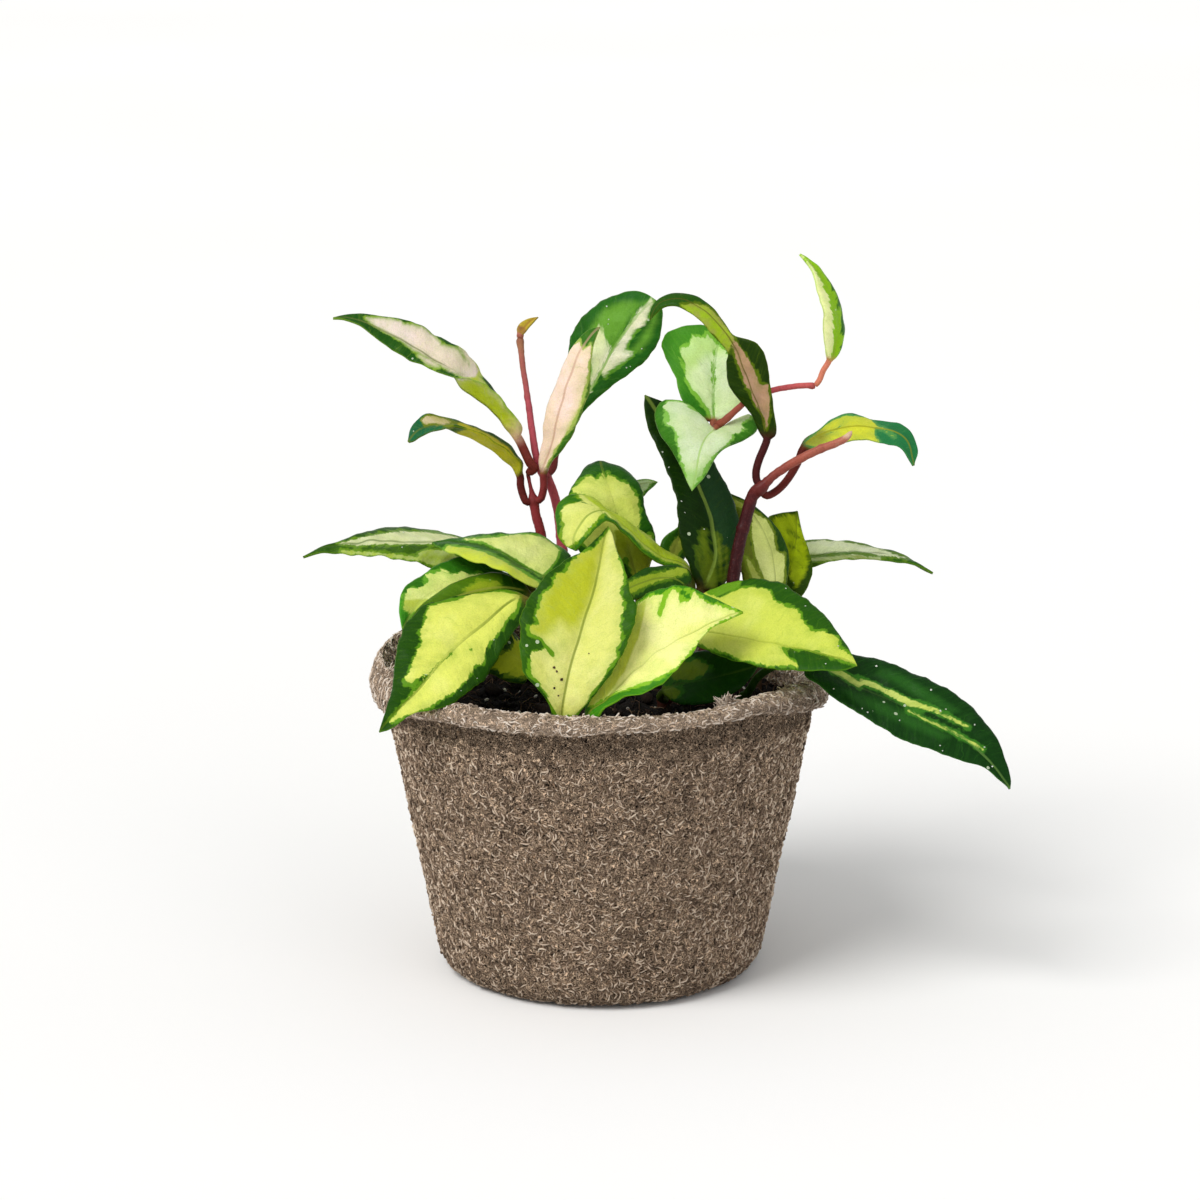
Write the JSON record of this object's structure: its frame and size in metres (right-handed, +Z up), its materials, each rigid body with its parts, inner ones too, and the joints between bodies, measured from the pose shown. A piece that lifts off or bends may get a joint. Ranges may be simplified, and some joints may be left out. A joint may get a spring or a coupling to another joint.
{
  "type": "potted hoya",
  "caption": "Young variegated wax plant with waxy cream, yellow and green leaves on red stems, growing in a round moulded fibre pot.",
  "frame": {"origin": "centre of the pot's flat underside", "axes": "+Z up out of the pot, the plant's front faces -Y, +X to the right seen from the front"},
  "size_m": [0.1677, 0.1092, 0.17],
  "materials": {
    "leaf_yellow": "satin",
    "leaf_pale": "satin",
    "leaf_green": "satin",
    "leaf_dark": "satin",
    "leaf_pink": "satin",
    "leaf_olive": "satin",
    "stem_red": "satin",
    "stem_pink": "satin",
    "stem_brown": "satin",
    "pot_fibre": "matte",
    "potting_mix": "matte"
  },
  "bodies": {
    "root": {"pot": "pot_fibre", "soil": "potting_mix", "stem_left": "stem_red", "stem_left_rear": "stem_pink", "stem_right": "stem_red", "stem_right_rear": "stem_pink", "stem_front_left": "stem_brown", "stem_middle": "stem_brown", "stem_back": "stem_brown", "stem_far_right": "stem_brown", "leaf_front_left": "leaf_yellow", "leaf_left_edge": "leaf_green", "leaf_left_yellow": "leaf_yellow", "leaf_left_broad": "leaf_yellow", "leaf_far_left": "leaf_pale", "leaf_front_middle": "leaf_yellow", "leaf_front_right": "leaf_pale", "leaf_right_wide": "leaf_yellow", "leaf_right_hanging": "leaf_dark", "leaf_soil_right": "leaf_dark", "leaf_soil_left": "leaf_green", "leaf_upper_left": "leaf_pink", "leaf_small_left": "leaf_olive", "leaf_bud": "leaf_olive", "leaf_pink": "leaf_pink", "leaf_upper_middle": "leaf_green", "leaf_arching": "leaf_dark", "leaf_pale_rear": "leaf_pale", "leaf_heart": "leaf_pale", "leaf_tall_dark": "leaf_dark", "leaf_right_curled": "leaf_yellow", "leaf_top_right": "leaf_yellow", "leaf_far_right": "leaf_pale", "leaf_behind_stem": "leaf_yellow", "leaf_underside_right": "leaf_green", "leaf_round_top": "leaf_yellow", "leaf_bent_over": "leaf_green", "leaf_back_tip": "leaf_pale", "leaf_small_middle": "leaf_green", "leaf_low_middle": "leaf_green"}
  },
  "joints": []
}
